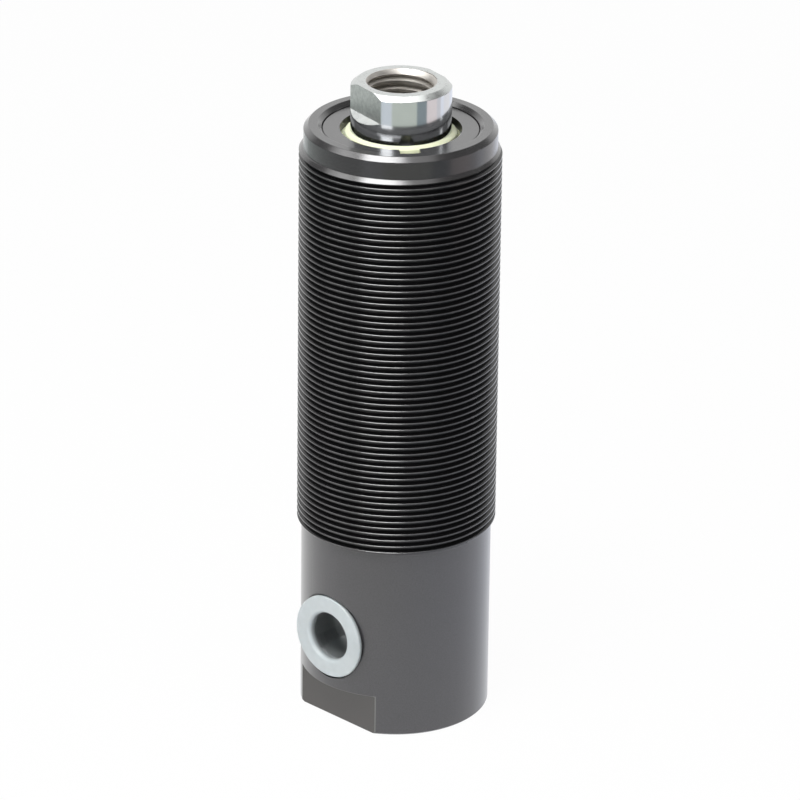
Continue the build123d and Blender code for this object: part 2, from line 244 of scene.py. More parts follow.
def drawn(name, corners, closed=False, rounding=0.0, segments=2):
    """A half section in the XZ plane, extruded corner by corner from one vertex, in edit mode."""
    deselect()
    bpy.ops.mesh.primitive_plane_add(size=MM)
    piece = named(name)
    bpy.ops.object.mode_set(mode="EDIT")
    bpy.ops.mesh.select_mode(type="VERT")
    bpy.ops.mesh.merge(type="CENTER")
    first = Vector((corners[0][0], 0, corners[0][1]))
    bpy.ops.transform.translate(value=first)
    for (radius, height), (next_radius, next_height) in zip(corners, corners[1:]):
        step = (next_radius - radius, 0, next_height - height)
        bpy.ops.mesh.extrude_vertices_move(TRANSFORM_OT_translate={"value": step})
    bpy.ops.mesh.select_all(action="SELECT")
    if closed:
        bpy.ops.mesh.edge_face_add()
        bpy.ops.mesh.delete(type="ONLY_FACE")
        bpy.ops.mesh.select_all(action="SELECT")
    if rounding:
        bpy.ops.mesh.bevel(affect="VERTICES", offset=rounding, segments=segments, profile=0.5)
    return piece


def close_skin():
    """Merges what coincides and turns every face outwards, in edit mode."""
    bpy.ops.mesh.select_all(action="SELECT")
    bpy.ops.mesh.remove_doubles(threshold=MM / 1000)
    bpy.ops.mesh.normals_make_consistent(inside=False)
    bpy.ops.object.mode_set(mode="OBJECT")


def turned(name, corners, steps, **section):
    """The section spun once round the Z axis."""
    piece = drawn(name, corners, **section)
    bpy.ops.mesh.select_all(action="SELECT")
    bpy.ops.mesh.spin(steps=steps, angle=FULL_TURN, center=(0, 0, 0), axis=(0, 0, 1))
    close_skin()
    return piece


def wound(corners, start, pitch, turns, steps):
    """The section of a groove wound up round the Z axis as a right-hand helix."""
    piece = drawn("groove", [(radius, start + height) for radius, height in corners], closed=True)
    bpy.ops.object.mode_set(mode="OBJECT")
    screw = piece.modifiers.new("wind", "SCREW")
    screw.axis = "Z"
    screw.angle = FULL_TURN
    screw.screw_offset = pitch
    screw.iterations = turns
    screw.steps = steps
    screw.render_steps = steps
    bpy.ops.object.modifier_apply(modifier=screw.name)
    bpy.ops.object.mode_set(mode="EDIT")
    bpy.ops.mesh.select_all(action="SELECT")
    bpy.ops.mesh.fill_holes(sides=0)
    close_skin()
    return piece


def block(size, place, turn=0.0):
    """A cutter block, turned round the Z axis after it is placed."""
    deselect()
    bpy.ops.mesh.primitive_cube_add(size=1, location=place)
    piece = named("block")
    piece.scale = size
    bpy.ops.object.transform_apply()
    piece.rotation_euler = (0, 0, turn)
    bpy.ops.object.transform_apply()
    return piece


def combine(piece, tool, operation="DIFFERENCE"):
    """Cuts, joins or intersects a piece with a tool that is then thrown away."""
    activate(piece)
    step = piece.modifiers.new("combine", "BOOLEAN")
    step.object = tool
    step.operation = operation
    step.solver = "MANIFOLD"
    bpy.ops.object.modifier_apply(modifier=step.name)
    bpy.data.meshes.remove(tool.data)


def select(piece, kind, wanted):
    """Enters edit mode with the edges or the faces selected that pass a test."""
    activate(piece)
    bpy.ops.object.mode_set(mode="EDIT")
    bpy.ops.mesh.select_mode(type=kind)
    bpy.ops.mesh.select_all(action="DESELECT")
    bpy.ops.object.mode_set(mode="OBJECT")
    for part in piece.data.edges if kind == "EDGE" else piece.data.polygons:
        part.select = wanted(part)
    bpy.ops.object.mode_set(mode="EDIT")


def break_edges(piece, wanted, width, name):
    """Bevels the edges whose two ends pass a test, and gives the new faces a finish."""
    select(piece, "EDGE", lambda edge: wanted(*[piece.data.vertices[n].co for n in edge.vertices]))
    bpy.ops.mesh.bevel(offset=width, segments=2, affect="EDGES", clamp_overlap=False)
    piece.active_material_index = piece.data.materials.find(name)
    bpy.ops.object.material_slot_assign()
    bpy.ops.object.mode_set(mode="OBJECT")


def dress(piece, *names):
    for name in names:
        piece.data.materials.append(finish(name))


def paint(piece, name, wanted):
    """Gives one of its finishes to the faces whose centre and normal pass a test."""
    slot = piece.data.materials.find(name)
    for face in piece.data.polygons:
        if wanted(face.center, face.normal):
            face.material_index = slot


def reach(point):
    """Distance of a point from the Z axis."""
    return math.hypot(point.x, point.y)


def stand_for(piece, body, node, degrees=30.0):
    """Smooths the narrow roundings, while the large faces keep their own direction. The piece
    then takes the place of a node of the frame."""
    activate(piece)
    bpy.ops.object.shade_smooth_by_angle(angle=math.radians(degrees))
    weighted = piece.modifiers.new("weighted", "WEIGHTED_NORMAL")
    weighted.mode = "FACE_AREA"
    weighted.keep_sharp = True
    bpy.ops.object.modifier_apply(modifier=weighted.name)
    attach(piece, body)
    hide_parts(node)


def recess(wall, bottom, start, stop):
    """Four corners of a groove that runs from one height to another in a turned wall."""
    return [(wall, start), (bottom, start), (bottom, stop), (wall, stop)]


def core_of(radius, pitch):
    """Core radius of a tapped hole, from its thread's major radius."""
    return radius - DEPTH_INSIDE * pitch


def both_sides(side):
    """Section of a thread's groove, from the corners of its upper half."""
    return [(r, -h) for r, h in side] + [(r, h) for r, h in reversed(side)]


def groove_outside(radius, pitch, edge=0.033):
    """Groove of an external thread, with a flat root and softened crests."""
    root = radius - DEPTH_OUTSIDE * pitch
    flank_top = radius - edge * pitch
    half_crest = 0.5 * pitch - 0.080 * pitch
    half_flank = half_crest - edge * pitch
    half_root = half_flank - (flank_top - root - 0.03 * pitch) * THREAD_FLANK
    return both_sides([
        (root, half_root - 0.04 * pitch), (root + 0.03 * pitch, half_root),
        (flank_top, half_flank), (radius + edge * pitch, half_crest + edge * pitch),
        (radius + 0.4 * MM, half_crest + edge * pitch)])


def groove_inside(radius, pitch):
    """Groove of an internal thread, cut outwards to its major radius."""
    half_root = 0.0625 * pitch
    core = core_of(radius, pitch) - 0.25 * MM
    half_core = half_root + (radius - core) * THREAD_FLANK
    return both_sides([
        (core - 0.25 * MM, half_core), (core, half_core),
        (radius - 0.03 * pitch, half_root + 0.02 * pitch), (radius, half_root)])


# Materials, each built up from what the real surface is. Their sizes are in millimetres.

METAL = {"Metallic": 1.0}

# Most values of a noise lie in this span
NOISE_SPAN = (0.3, 0.7)

# A wave texture turns through this many radians in one unit
WAVE_RADIANS = 20


def add(material, kind, sockets=(), **settings):
    """Adds one node with its settings, its socket values and its links."""
    made = material.node_tree.nodes.new("ShaderNode" + kind)
    for key, value in settings.items():
        setattr(made, key, value)
    for key, value in dict(sockets).items():
        if isinstance(value, bpy.types.NodeSocket):
            material.node_tree.links.new(value, made.inputs[key])
        else:
            made.inputs[key].default_value = value
    return made


def begin(name):
    """A new material with an empty node tree, and its object coordinates."""
    material = bpy.data.materials.new(name)
    material.use_nodes = True
    material.node_tree.nodes.clear()
    return material, add(material, "TexCoord").outputs["Object"]


def end(material, shader):
    add(material, "OutputMaterial", {"Surface": shader})
    return material


def shade(rgba, level):
    """The same colour, darker or lighter."""
    return (*[min(1.0, channel * level) for channel in rgba[:3]], 1.0)


def grain(material, place, size, stretch=1.0, detail=3.0, roughness=0.5, lean=0.0):
    """Noise with grains of a given size, drawn out round the axis where a tool did that."""
    mapped = add(material, "Mapping", {"Vector": place, "Rotation": (0, math.radians(lean), 0),
                                       "Scale": (stretch, stretch, 1)})
    noise = add(material, "TexNoise", {"Vector": mapped.outputs[0], "Scale": 1 / (size * MM),
                                       "Detail": detail, "Roughness": roughness})
    return noise.outputs["Fac"]


def surface(material, base, shades, tint, roughness, relief=None, depth=0.0, sheen=None,
            more=METAL, tint_span=NOISE_SPAN, sheen_span=NOISE_SPAN):
    """Colour that runs between two shades with the tint pattern, roughness that is even or runs
    between two levels with the sheen pattern, and a relief of some depth."""
    share = add(material, "MapRange", {"Value": tint, "From Min": tint_span[0],
                                       "From Max": tint_span[1]})
    tone = add(material, "Mix", {0: share.outputs[0], 6: shade(base, shades[0]),
                                 7: shade(base, shades[1])}, data_type="RGBA")
    if sheen:
        roughness = add(material, "MapRange", {
            "Value": sheen, "From Min": sheen_span[0], "From Max": sheen_span[1],
            "To Min": roughness[0], "To Max": roughness[1]}).outputs[0]
    sockets = {"Base Color": tone.outputs[2], "Roughness": roughness, **more}
    if relief:
        sockets["Normal"] = add(material, "Bump", {"Height": relief,
                                                   "Distance": depth * MM}).outputs[0]
    return add(material, "BsdfPrincipled", sockets).outputs[0]


def black_oxide(name, base, roughness, mark, depth, oil=1.0):
    """Black oxide on steel, sealed with oil: a dark coat that shows the tool marks under it,
    and a thin even film that takes on the room's light towards the edges."""
    material, place = begin(name)
    marks = grain(material, place, mark, stretch=0.06, detail=2.0)
    pits = grain(material, place, 0.25, detail=2.0)
    height = add(material, "Math", {0: marks, 1: pits}, operation="ADD").outputs[0]
    return end(material, surface(
        material, base, (0.80, 1.20), pits, (roughness - 0.01, roughness + 0.01), height, depth,
        sheen=grain(material, place, 9.0, detail=2.0), sheen_span=(0.1, 0.9),
        more={"IOR": 1.45, "Coat Weight": oil, "Coat Roughness": roughness, "Coat IOR": 1.5}))


def turned_metal(name, base, roughness, mark, depth, level=1.0):
    """Bare metal off the lathe or the grinder: fine rings round the axis break up its gloss."""
    material, place = begin(name)
    rings = grain(material, place, mark, stretch=0.05, detail=2.0)
    return end(material, surface(
        material, shade(base, level), (0.94, 1.0), grain(material, place, 3.0, detail=4.0),
        (roughness * 0.75, roughness * 1.25), rings, depth, sheen=rings))


def polished_chrome(name, base):
    """Chrome plated on ground steel and polished: it mirrors the room with a slight blur."""
    material, place = begin(name)
    cloud = grain(material, place, 2.0)
    return end(material, surface(material, base, (0.97, 1.0), cloud, (0.11, 0.13), sheen=cloud))


def faced_metal(name, base, roughness, pitch, depth):
    """A face turned on the lathe: its fine spiral shows as rings round the axis."""
    material, place = begin(name)
    rings = add(material, "TexWave", {
        "Vector": place, "Scale": FULL_TURN / (WAVE_RADIANS * pitch * MM), "Distortion": 0.4,
        "Detail": 2.0, "Detail Scale": 30.0}, wave_type="RINGS", rings_direction="Z")
    cloud = grain(material, place, 1.5, detail=5.0)
    return end(material, surface(
        material, base, (0.88, 1.0), cloud, (roughness * 0.8, roughness * 1.2),
        rings.outputs["Fac"], depth, sheen=cloud))


def milled_steel(name, base):
    """Wrench flats milled and left bare: a mottled grey with the cutter's fine marks."""
    material, place = begin(name)
    speck = grain(material, place, 0.25)
    return end(material, surface(
        material, base, (0.8, 1.05), grain(material, place, 0.9, detail=6.0, roughness=0.7),
        (0.28, 0.45), speck, 0.01, sheen=speck, tint_span=(0.35, 0.65)))


def honed_steel(name, base):
    """A honed bore: two crossing sets of fine scratches, drawn coarser than real to show."""
    material, place = begin(name)
    left, right = (grain(material, place, 0.12, stretch=0.04, detail=2.0, lean=lean)
                   for lean in (-30, 30))
    height = add(material, "Math", {0: left, 1: right}, operation="ADD").outputs[0]
    return end(material, surface(material, base, (0.9, 1.0), height, 0.24, height, 0.004,
                                 tint_span=(0.8, 1.2)))


def cast_polyurethane(name, base):
    """Cast polyurethane: dull and waxy, and light goes a little way into it."""
    material, place = begin(name)
    cloud = grain(material, place, 2.5)
    return end(material, surface(
        material, base, (0.95, 1.0), cloud, 0.7, cloud, 0.01,
        more={"IOR": 1.5, "Subsurface Weight": 0.1, "Subsurface Radius": (1.0, 0.9, 0.6),
              "Subsurface Scale": 0.3 * MM}))


def milky_polyethylene(name, base):
    """Moulded low-density polyethylene: milky where it is thick, and see-through in the cup."""
    material, place = begin(name)
    flow = grain(material, place, 2.0)
    milky = surface(
        material, base, (0.94, 1.0), flow, 0.32, flow, 0.02,
        more={"IOR": 1.51, "Subsurface Weight": 0.5, "Subsurface Radius": (1.0, 1.1, 1.15),
              "Subsurface Scale": 0.8 * MM})
    clear = add(material, "BsdfTransparent", {"Color": shade(base, 1.7)})
    gloss = add(material, "BsdfGlossy", {"Roughness": 0.25})
    glance = add(material, "Fresnel", {"IOR": 1.51})
    skin = add(material, "MixShader", {0: glance.outputs[0], 1: clear.outputs[0],
                                       2: gloss.outputs[0]})
    along = add(material, "SeparateXYZ", {"Vector": place})
    share = add(material, "MapRange", {"Value": along.outputs["Y"], "From Min": -21.4 * MM,
                                       "From Max": -20.1 * MM, "To Max": 0.9})
    both = add(material, "MixShader", {0: share.outputs[0], 1: milky, 2: skin.outputs[0]})
    return end(material, both.outputs[0])


def moulded(name, base, roughness, ior, size, depth):
    """Rubber or plastic out of a mould: even colour with a fine, dull grain."""
    material, place = begin(name)
    speck = grain(material, place, size)
    return end(material, surface(
        material, base, (0.85, 1.0), speck, (roughness - 0.05, roughness + 0.05), speck, depth,
        sheen=speck, more={"IOR": ior}))


def phenolic_cloth(name, base, pitch, depth):
    """Phenolic resin with cotton cloth in it: brown, with the weave just under the surface,
    drawn coarser than real to show."""
    material, place = begin(name)
    warp, weft = (add(material, "TexWave", {
        "Vector": place, "Scale": FULL_TURN / (WAVE_RADIANS * pitch * MM), "Distortion": 0.6},
        bands_direction=direction).outputs["Fac"] for direction in ("X", "Z"))
    weave = add(material, "Math", {0: warp, 1: weft}, operation="MULTIPLY").outputs[0]
    return end(material, surface(material, base, (0.7, 1.2), weave, 0.5, weave, depth,
                                 more={"IOR": 1.55}, tint_span=(0.0, 1.0)))


# Each finish: its recipe, its colour, and the rest of what the recipe takes, in its order
FINISHES = {
    "ground_black_oxide": (black_oxide, "oxide_ground", 0.28, 0.35, 0.004),
    "milled_black_oxide": (black_oxide, "oxide_worn", 0.42, 0.5, 0.004),
    # Painted shade: the darkest black oxide, without the oil film, for the thread's grooves and the
    # gland's inner walls
    "cut_black_oxide": (black_oxide, "oxide_deep", 0.18, 0.25, 0.002, 0.0),
    "turned_black_oxide": (black_oxide, "oxide", 0.22, 0.25, 0.003),
    "rubbed_edge": (turned_metal, "steel", 0.38, 0.3, 0.002, 0.48),
    "polished_hard_chrome": (polished_chrome, "chrome"),
    "faced_steel": (faced_metal, "faced", 0.30, 1.5708, 0.004),
    "tapped_steel": (turned_metal, "tapped_steel", 0.42, 0.2, 0.003),
    "milled_steel": (milled_steel, "milled"),
    "honed_steel": (honed_steel, "steel"),
    "turned_bare_steel": (turned_metal, "machined", 0.40, 0.25, 0.003),
    "oil_hardened_wire": (turned_metal, "spring_oxide", 0.40, 0.4, 0.004),
    "cast_cream_polyurethane": (cast_polyurethane, "cream"),
    "milky_polyethylene": (milky_polyethylene, "milky"),
    "moulded_nitrile_rubber": (moulded, "rubber", 0.85, 1.52, 0.15, 0.006),
    "bronze_filled_ptfe": (moulded, "bronze_ptfe", 0.45, 1.38, 0.1, 0.003),
    "moulded_white_polyamide": (moulded, "nylon", 0.70, 1.53, 0.3, 0.004),
    "phenolic_cloth": (phenolic_cloth, "phenolic", 4.3982, 0.01),
}


def finish(name):
    """The material of a name, made the first time it is asked for."""
    made = bpy.data.materials.get(name)
    if made:
        return made
    recipe, hue, *sizes = FINISHES[name]
    return recipe(name, getattr(bpy.context.scene.cylinder_colours, hue), *sizes)


# The pieces

class CYLINDER_OT_body(bpy.types.Operator):
    """Turns, mills, bores and threads the body"""
    bl_idname = "cylinder.body"
    bl_label = "Body"

    def execute(self, context):
        body, port = context.scene.cylinder_body, context.scene.cylinder_port
        gland = context.scene.cylinder_gland
        thread = body.thread_diameter / 2
        base = body.base_diameter / 2
        bore = body.bore_diameter / 2
        mouth = body.mouth_diameter / 2
        core = core_of(mouth, gland.thread_pitch)
        thread_top = BODY_TOP - body.collar_length
        seat = GLAND_BOTTOM + gland.spigot_length
        floor = body.bore_floor
        plain_mouth = BODY_TOP - body.mouth_thread
        piece = turned("cylinder_body", [
            (0, BODY_BOTTOM),
            (base - body.base_chamfer, BODY_BOTTOM), (base, BODY_BOTTOM + body.base_chamfer),
            (base, body.base_length), (thread - body.thread_ledge, body.base_length),
            (thread, body.base_length + body.thread_ledge),
            (thread, thread_top - thread + base), (base, thread_top),
            (base, BODY_TOP - body.collar_chamfer), (base - body.collar_chamfer, BODY_TOP),
            (mouth + body.mouth_chamfer, BODY_TOP), (mouth, BODY_TOP - body.mouth_chamfer),
            (mouth, plain_mouth), (core, plain_mouth - mouth + core),
            (core, seat), (bore + 0.5 * MM, seat), (bore, seat - 1.9 * MM),
            (bore, floor + 0.8 * MM), (bore - 0.8 * MM, floor), (0, floor),
        ], body.steps, rounding=0.07 * MM)
        dress(piece, "ground_black_oxide", "cut_black_oxide", "turned_black_oxide", "honed_steel",
              "rubbed_edge", "milled_black_oxide")
        half = body.flat_width / 2
        for side in (-1, 1):
            combine(piece, block((2 * base * 1.2, base, 2 * body.flat_height),
                                 (0, side * (half + base / 2), 0)))

        def flat_edge(*ends):
            rim = all(abs(p.z - body.flat_height) < NEAR and reach(p) > base - 0.05 * MM
                      for p in ends)
            side = all(reach(p) > base - 0.5 * MM for p in ends)
            foot = all(p.z < NEAR for p in ends)
            return rim or (side or foot) and all(abs(abs(p.y) - half) < NEAR for p in ends)

        break_edges(piece, flat_edge, body.edge_break, "rubbed_edge")
        for tool in self.port_tools(port):
            combine(piece, tool)
        combine(piece, wound(groove_outside(thread, body.thread_pitch, edge=0.047),
                             body.thread_start, body.thread_pitch, 61, body.steps))
        combine(piece, wound(groove_inside(mouth, body.thread_pitch), seat + 1 * MM,
                             body.thread_pitch, 10, body.steps))
        self.finishes(piece, body)
        stand_for(piece, "barrel", "threaded_body", 12.0)
        return {"FINISHED"}

    def port_tools(self, port):
        """Spot face, countersink, drilled core and feed in one tool, then the thread's groove."""
        core = port.core_diameter / 2
        major = port.thread_diameter / 2
        sink = major + 0.32 * MM
        spot = port.spot_diameter / 2
        feed = port.feed_diameter / 2
        drill = turned("drill", [
            (0, 4 * MM), (spot, 4 * MM), (spot, 0),
            (sink, 0), (core, core - sink),
            (core, -port.depth), (feed, -port.depth - (core - feed) * DRILL_POINT),
            (feed, -port.face - feed), (0, -port.face - feed),
        ], 64)
        groove = wound(groove_inside(major, port.thread_pitch), -11.7 * MM, port.thread_pitch, 9, 64)
        for tool in (drill, groove):
            activate(tool)
            tool.rotation_euler = (math.radians(90), 0, 0)
            tool.location = (0, -port.face, port.height)
            bpy.ops.object.transform_apply()
            yield tool
        yield turned("riser", [(0, port.height), (feed, port.height), (feed, 36 * MM),
                               (0, 36 * MM)], 48)

    def finishes(self, piece, body):
        """Each finish goes where its tool worked."""
        thread_top = BODY_TOP - body.collar_length
        base = body.base_diameter / 2
        bore = body.bore_diameter / 2
        half = body.flat_width / 2
        lead_in = thread_top - (body.thread_diameter - body.base_diameter) / 2
        crest = body.thread_diameter / 2 - 0.08 * MM
        # Painted shade: the thread's flanks and roots take the darkest black oxide
        paint(piece, "cut_black_oxide", lambda c, n:
              body.base_length - 0.1 * MM < c.z < lead_in and reach(c) > base - 0.2 * MM)
        paint(piece, "turned_black_oxide", lambda c, n:
              body.base_length < c.z < lead_in and reach(c) > crest
              or c.z > lead_in and reach(c) > bore)
        paint(piece, "honed_steel", lambda c, n:
              body.bore_floor + 2 * MM < c.z < GLAND_BOTTOM + 7 * MM and reach(c) < bore + 0.1 * MM)
        paint(piece, "milled_black_oxide", lambda c, n:
              abs(n.y) > 0.999 and c.z < body.flat_height and abs(abs(c.y) - half) < NEAR)


class CYLINDER_OT_gland(bpy.types.Operator):
    """Turns, slots and threads the gland nut"""
    bl_idname = "cylinder.gland"
    bl_label = "Gland nut"

    def execute(self, context):
        body, gland = context.scene.cylinder_body, context.scene.cylinder_gland
        wiper = context.scene.cylinder_wiper
        rod = context.scene.cylinder_rod.diameter / 2
        outside = body.mouth_diameter / 2 - 0.02 * MM
        spigot = body.bore_diameter / 2 - 0.02 * MM
        hole = rod + 0.1 * MM
        opening = gland.opening_diameter / 2
        guide = rod + 1.57 * MM
        seat = GLAND_BOTTOM + gland.spigot_length
        wiper_top = GLAND_TOP - gland.lip
        groove = wiper.groove_diameter / 2
        groove_floor = wiper_top - wiper.height
        ring_height = 4.2 * MM
        lower_ring, upper_ring = GLAND_BOTTOM + 2.0 * MM, GLAND_BOTTOM + 12.0 * MM
        piece = turned("gland_nut_slotted", [
            (hole, GLAND_BOTTOM), (spigot - 0.4 * MM, GLAND_BOTTOM),
            (spigot, GLAND_BOTTOM + 0.4 * MM),
            *recess(spigot, spigot - 1.58 * MM, GLAND_BOTTOM + 2.5 * MM, GLAND_BOTTOM + 5.3 * MM),
            (spigot, seat), (outside - 1.2 * MM, seat),
            (outside - 1.2 * MM, seat + 1.6 * MM), (outside, seat + 2.8 * MM),
            *recess(outside, outside - 1.0 * MM, GLAND_TOP - 3.0 * MM, GLAND_TOP - 2.0 * MM),
            (outside, GLAND_TOP - 0.3 * MM), (outside - 0.3 * MM, GLAND_TOP),
            (opening, GLAND_TOP), (opening, wiper_top), (groove, wiper_top),
            (groove, groove_floor), (hole, groove_floor),
            *recess(hole, guide, upper_ring + ring_height, upper_ring),
            *recess(hole, guide, lower_ring + ring_height, lower_ring),
        ], 96, closed=True, rounding=0.05 * MM)
        dress(piece, "turned_black_oxide", "cut_black_oxide")
        inner = opening - 2 * MM
        outer = outside + 1 * MM
        depth = gland.lip + 1 * MM
        for side in (-1, 1):
            combine(piece, block((outer - inner, gland.slot_width, depth),
                                 (side * (inner + outer) / 2, 0, wiper_top + depth / 2),
                                 gland.slot_angle))
        deselect()
        bpy.ops.mesh.primitive_cylinder_add(vertices=32, radius=1.5 * MM, depth=3.2 * MM,
                                            location=(0, outside, GLAND_BOTTOM + 17.2 * MM),
                                            rotation=(math.radians(90), 0, 0))
        pocket = named("pocket")
        bpy.ops.object.transform_apply()
        combine(piece, pocket)
        combine(piece, wound(groove_outside(outside, gland.thread_pitch), seat + 0.25 * MM,
                             gland.thread_pitch, 10, 96))
        # Painted shade: the gland's inner walls take the darkest black oxide
        paint(piece, "cut_black_oxide",
              lambda c, n: reach(c) < outside - 0.5 * MM and abs(n.z) < 0.5)
        stand_for(piece, "barrel", "gland_nut")
        return {"FINISHED"}


class CYLINDER_OT_wiper(bpy.types.Operator):
    """Turns the wiper with its sloping lip"""
    bl_idname = "cylinder.wiper"
    bl_label = "Wiper"

    def execute(self, context):
        wiper = context.scene.cylinder_wiper
        tip = context.scene.cylinder_rod.diameter / 2 + 0.03 * MM
        wiper_top = GLAND_TOP - context.scene.cylinder_gland.lip
        shoulder = wiper_top - 0.02 * MM
        foot = wiper_top - wiper.height + 0.02 * MM
        back = wiper.groove_diameter / 2 - 0.02 * MM
        crest = tip + wiper.lip_width
        piece = turned("rod_wiper_lipped", [
            (tip, GLAND_TOP), (crest, GLAND_TOP - wiper.lip_slope),
            (crest + wiper.lip_taper, shoulder), (back, shoulder), (back, foot),
            (tip + 0.09 * MM, foot), (tip + 0.9 * MM, foot + 0.81 * MM),
            (tip + 0.9 * MM, shoulder),
        ], 128, closed=True, rounding=0.06 * MM)
        dress(piece, "cast_cream_polyurethane")
        stand_for(piece, "barrel", "rod_wiper")
        return {"FINISHED"}


class CYLINDER_OT_rod(bpy.types.Operator):
    """Turns the piston rod, mills its flats and cuts both threads"""
    bl_idname = "cylinder.rod"
    bl_label = "Piston rod"

    def execute(self, context):
        rod = context.scene.cylinder_rod
        outside = rod.diameter / 2
        tapped = rod.thread_diameter / 2
        core = core_of(tapped, rod.thread_pitch)
        spigot, shoulder = 7.0 * MM, 41.9 * MM
        seal_floor, seal_bottom, seal_top = 5.6 * MM, 45.5 * MM, 49.0 * MM
        crown = 54.0 * MM
        drill_end = ROD_TOP - 28.0 * MM
        piece = turned("piston_rod_tapped", [
            (0, ROD_BOTTOM), (STUD_RADIUS - 0.6 * MM, ROD_BOTTOM),
            (STUD_RADIUS, ROD_BOTTOM + 0.6 * MM), (STUD_RADIUS, shoulder), (spigot, shoulder),
            *recess(spigot, seal_floor, seal_bottom, seal_top),
            (spigot, crown), (outside, crown),
            (outside, ROD_TOP - rod.chamfer_length), (outside - rod.chamfer_width, ROD_TOP),
            (rod.sink_diameter / 2, ROD_TOP), (core, ROD_TOP - rod.sink_depth),
            (core, drill_end), (0, drill_end - core * DRILL_POINT),
        ], 144, rounding=0.08 * MM)
        dress(piece, "polished_hard_chrome", "faced_steel", "milled_steel", "tapped_steel",
              "turned_bare_steel")
        half = rod.flat_width / 2
        ledge = ROD_TOP - rod.flat_length
        height = rod.flat_length + 1 * MM
        across = Vector((-math.sin(rod.flat_angle), math.cos(rod.flat_angle), 0))

        def ledge_height(point):
            return ledge - (abs(point.dot(across)) - half) * math.tan(rod.ledge_slope)

        for side in (-1, 1):
            mill = block((2 * rod.diameter, outside, height),
                         (0, side * (half + outside / 2), ledge + height / 2), rod.flat_angle)
            for corner in mill.data.vertices:
                if corner.co.z < ROD_TOP:
                    corner.co.z = ledge_height(corner.co)
            combine(piece, mill)

        def on_flat(point):
            return abs(abs(point.dot(across)) - half) < NEAR and point.z > ledge - NEAR

        def flat_edge(*ends):
            rim = all(on_flat(p) and (reach(p) > outside - rod.chamfer_width
                                      or p.z > ROD_TOP - NEAR) for p in ends)
            foot = all(abs(p.z - ledge) < NEAR for p in ends)
            lip = all(abs(p.z - ledge_height(p)) < NEAR and reach(p) > outside - 0.05 * MM
                      for p in ends)
            return rim and not foot or lip

        break_edges(piece, flat_edge, 0.08 * MM, "faced_steel")
        for corner in piece.data.vertices:
            corner.co.z = min(corner.co.z, ROD_TOP)
        paint(piece, "faced_steel", lambda c, n: c.z > ROD_TOP - rod.chamfer_length
              and reach(c) > rod.sink_diameter / 2 and n.z > 0.5)
        paint(piece, "milled_steel", lambda c, n: c.z > ledge and abs(n.z) < 0.1
              and abs(abs(c.dot(across)) - half) < 2 * NEAR)
        paint(piece, "faced_steel",
              lambda c, n: abs(c.z - ledge_height(c)) < 2 * NEAR and 0.7 < n.z < 0.95)
        paint(piece, "tapped_steel", lambda c, n: reach(c) < tapped + NEAR and c.z > crown)
        combine(piece, wound(groove_inside(tapped, rod.thread_pitch), ROD_TOP - 24.5 * MM,
                             rod.thread_pitch, 13, 72))
        combine(piece, wound(groove_outside(STUD_RADIUS, STUD_PITCH), 34.0 * MM, STUD_PITCH, 4, 72))
        paint(piece, "tapped_steel",
              lambda c, n: reach(c) < tapped + NEAR and crown < c.z < ROD_TOP - 0.05 * MM)
        paint(piece, "turned_bare_steel", lambda c, n: c.z < crown + NEAR)
        stand_for(piece, "rod", "piston_rod")
        return {"FINISHED"}


class CYLINDER_OT_lock_nut(bpy.types.Operator):
    """Makes the thin hexagon nut on the rod's stud"""
    bl_idname = "cylinder.lock_nut"
    bl_label = "Lock nut"

    def execute(self, context):
        low, high = (corner.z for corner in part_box("piston_lock_nut"))
        corner = 18.0 * MM / math.sqrt(3)
        flat = 9.0 * MM
        bevel = (corner - flat) * THREAD_FLANK
        deselect()
        bpy.ops.mesh.primitive_cylinder_add(vertices=6, radius=corner, depth=high - low,
                                            location=(0, 0, (low + high) / 2),
                                            rotation=(0, 0, math.radians(30)))
        piece = named("lock_nut_threaded")
        bpy.ops.object.transform_apply()
        dress(piece, "turned_bare_steel")
        hole = core_of(STUD_RADIUS, STUD_PITCH)
        envelope = turned("envelope", [
            (hole + 0.9 * MM, low), (flat, low), (corner, low + bevel),
            (corner, high - bevel), (flat, high), (hole + 0.9 * MM, high),
            (hole, high - 0.9 * MM), (hole, low + 0.9 * MM),
        ], 72, closed=True)
        combine(piece, envelope, "INTERSECT")
        combine(piece, wound(groove_inside(STUD_RADIUS + 0.02 * MM, STUD_PITCH), 33.125 * MM,
                             STUD_PITCH, 6, 72))
        stand_for(piece, "rod", "piston_lock_nut")
        return {"FINISHED"}


